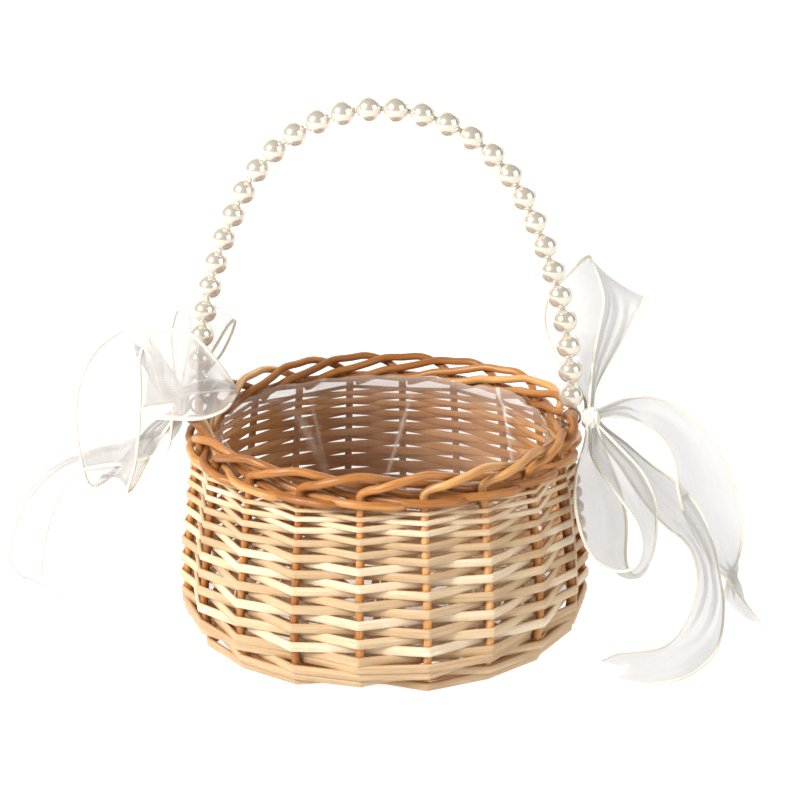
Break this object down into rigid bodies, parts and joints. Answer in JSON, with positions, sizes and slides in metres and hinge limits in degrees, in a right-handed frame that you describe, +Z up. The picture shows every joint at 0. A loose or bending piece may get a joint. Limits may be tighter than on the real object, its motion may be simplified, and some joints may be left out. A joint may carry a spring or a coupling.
{
  "type": "flower girl basket",
  "caption": "Small round willow basket with a pearl-strung hoop handle and a sheer ribbon bow at each foot of the handle.",
  "frame": {"origin": "on the floor, on the basket's own vertical axis, at the centre of the foot hoop's underside", "axes": "+Z up; X runs through the two feet of the handle, +X towards the right-hand bow; -Y is the front"},
  "size_m": [0.3765, 0.207, 0.2594],
  "materials": {
    "willow_buff": "satin",
    "willow_split": "satin",
    "clear_film": "gloss",
    "pearl": "gloss",
    "handle_thread": "matte",
    "ribbon": "satin"
  },
  "bodies": {
    "basket": {"stake_01": "willow_buff", "stake_02": "willow_buff", "stake_03": "willow_buff", "stake_04": "willow_buff", "stake_05": "willow_buff", "stake_06": "willow_buff", "stake_07": "willow_buff", "stake_08": "willow_buff", "stake_09": "willow_buff", "stake_10": "willow_buff", "stake_11": "willow_buff", "stake_12": "willow_buff", "stake_13": "willow_buff", "stake_14": "willow_buff", "stake_15": "willow_buff", "stake_16": "willow_buff", "stake_17": "willow_buff", "stake_18": "willow_buff", "stake_19": "willow_buff", "stake_20": "willow_buff", "weave_row_01": "willow_split", "weave_row_02": "willow_split", "weave_row_03": "willow_split", "weave_row_04": "willow_split", "weave_row_05": "willow_split", "weave_row_06": "willow_split", "weave_row_07": "willow_split", "weave_row_08": "willow_split", "weave_row_09": "willow_split", "weave_row_10": "willow_split", "weave_row_11": "willow_split", "weave_row_12": "willow_split", "weave_row_13": "willow_split", "weave_row_14": "willow_split", "weave_row_15": "willow_split", "weave_row_16": "willow_split", "weave_row_17": "willow_split", "weave_row_18": "willow_split", "weave_row_19": "willow_split", "weave_row_20": "willow_split", "wale_rod_1": "willow_split", "wale_rod_2": "willow_split", "wale_rod_3": "willow_split", "wale_rod_4": "willow_split", "foot_hoop": "willow_buff", "base_sticks": "willow_buff", "base_weave": "willow_split", "liner": "clear_film", "bow_right_lower_loop": "ribbon", "bow_right_tail_rear": "ribbon", "bow_right_tail_front": "ribbon", "bow_left_hanging_loop": "ribbon", "bow_left_tail_long": "ribbon"},
    "handle": {"handle_wire": "handle_thread", "pearl_beads": "pearl", "bow_right_knot": "ribbon", "bow_left_knot": "ribbon", "bow_right_upper_loop": "ribbon", "bow_left_upper_loop": "ribbon"}
  },
  "joints": [
    {"name": "handle_swing", "type": "hinge", "parent": "basket", "child": "handle", "pos_m": [0, 0, 0.1043], "axis": [1, 0, 0], "range_deg": [-40, 40]}
  ]
}
